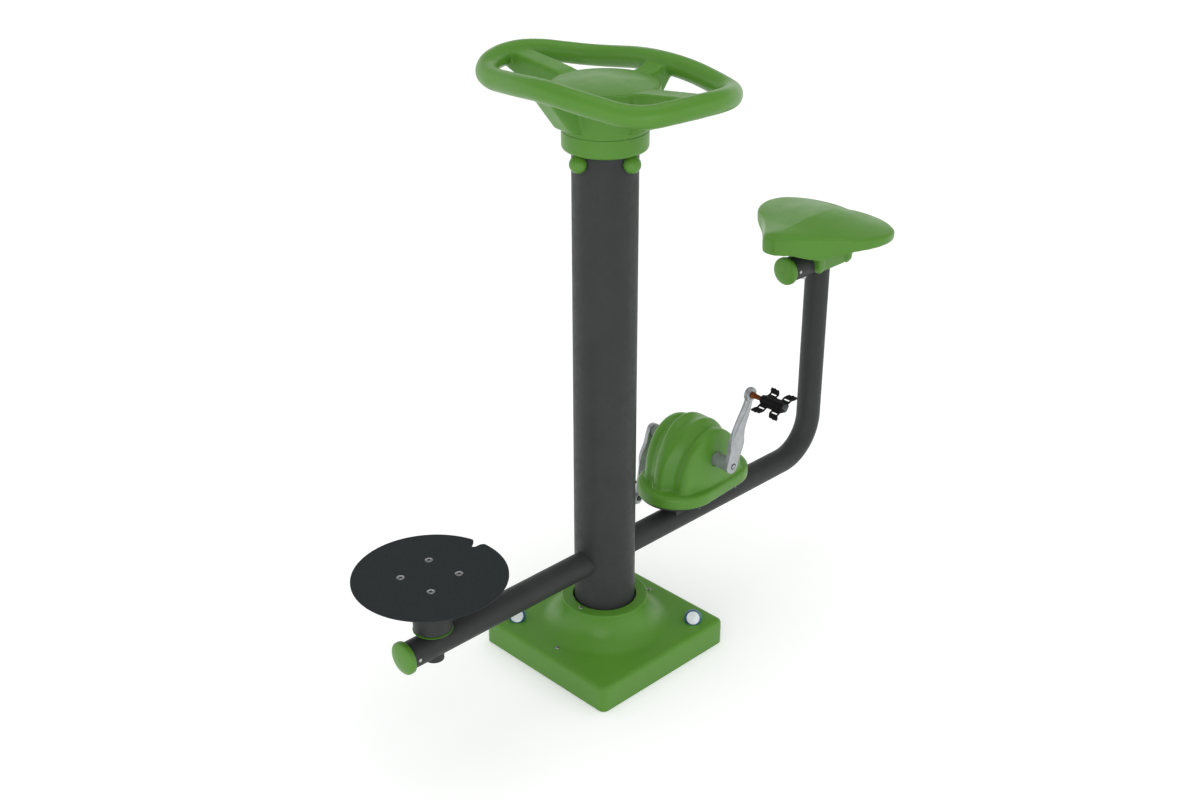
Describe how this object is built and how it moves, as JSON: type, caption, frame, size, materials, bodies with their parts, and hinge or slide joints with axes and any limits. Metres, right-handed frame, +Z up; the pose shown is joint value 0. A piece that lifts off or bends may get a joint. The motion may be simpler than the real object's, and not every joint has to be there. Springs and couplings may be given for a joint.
{
  "type": "outdoor pedal trainer with standing twister",
  "caption": "Outdoor fitness station on one post: a fixed hand wheel, a standing twister disc on one arm, and a saddle with a crank and pedals on the other.",
  "frame": {"origin": "on the ground, on the axis of the main post", "axes": "+Z up the post; +X along the beam towards the saddle; +Y to the far side of the cranks"},
  "size_m": [1.514, 0.5982, 1.381],
  "materials": {
    "dark_steel": "satin dark grey powder coat",
    "green_plastic": "semi-gloss moulded green",
    "zinc_steel": "bright zinc plate",
    "bearing_steel": "ground steel",
    "brass_insert": "plain brass",
    "speckled_black": "near-black with fine pale speckle",
    "grey_plastic": "blue-grey moulded plastic",
    "cast_alloy": "satin cast aluminium",
    "black_bolt": "black oxide",
    "copper_steel": "copper-coloured plate",
    "black_nylon": "matt black"
  },
  "bodies": {
    "frame": {"anchor_plate": "dark_steel", "main_post": "dark_steel", "post_gussets": "dark_steel", "base_cover_front": "green_plastic", "base_cover_rear": "green_plastic", "base_cover_screws": "zinc_steel", "twister_arm": "dark_steel", "seat_arm": "dark_steel", "seat_rail": "dark_steel", "arm_end_cap": "green_plastic", "rail_end_caps": "green_plastic", "cap_rivets": "zinc_steel", "saddle": "green_plastic", "saddle_inserts": "brass_insert", "saddle_bolts": "zinc_steel", "drive_bracket": "dark_steel", "axle_outer_races": "bearing_steel", "drive_cover_near": "green_plastic", "drive_cover_far": "green_plastic", "drive_cover_screws": "zinc_steel", "wheel_spigot": "zinc_steel", "wheel_screws": "zinc_steel", "wheel_collar": "green_plastic", "hand_wheel": "green_plastic", "hub_cap": "green_plastic", "wheel_bolts": "zinc_steel", "wheel_bolt_caps": "green_plastic", "twister_boss": "dark_steel", "twister_spindle": "zinc_steel", "dust_ring": "green_plastic", "twister_inner_races": "bearing_steel", "bearing_spacer": "zinc_steel", "lock_nut": "zinc_steel"},
    "twister": {"twister_disc": "speckled_black", "twister_hub": "dark_steel", "twister_outer_races": "bearing_steel", "disc_screws": "zinc_steel"},
    "crank_set": {"crank_axle": "zinc_steel", "flywheel": "dark_steel", "axle_inner_races": "bearing_steel", "axle_sleeves": "grey_plastic", "crank_near": "cast_alloy", "crank_far": "cast_alloy", "crank_bolts": "black_bolt", "pedal_spindles": "copper_steel"},
    "pedal_near": {"pedal_cage_near": "black_nylon", "pedal_bush_near": "brass_insert", "pedal_cap_near": "grey_plastic"},
    "pedal_far": {"pedal_cage_far": "black_nylon", "pedal_bush_far": "brass_insert", "pedal_cap_far": "grey_plastic"}
  },
  "joints": [
    {"name": "twister_spin", "type": "hinge", "parent": "frame", "child": "twister", "pos_m": [-0.505, 0, 0.34], "axis": [0, 0, 1], "continuous": true},
    {"name": "crank_spin", "type": "hinge", "parent": "frame", "child": "crank_set", "pos_m": [0.29, 0, 0.41], "axis": [0, 1, 0], "continuous": true},
    {"name": "pedal_near_spin", "type": "hinge", "parent": "crank_set", "child": "pedal_near", "pos_m": [0.34027, -0.201, 0.57971], "axis": [0, 1, 0], "continuous": true},
    {"name": "pedal_far_spin", "type": "hinge", "parent": "crank_set", "child": "pedal_far", "pos_m": [0.23973, 0.201, 0.24029], "axis": [0, 1, 0], "continuous": true}
  ]
}
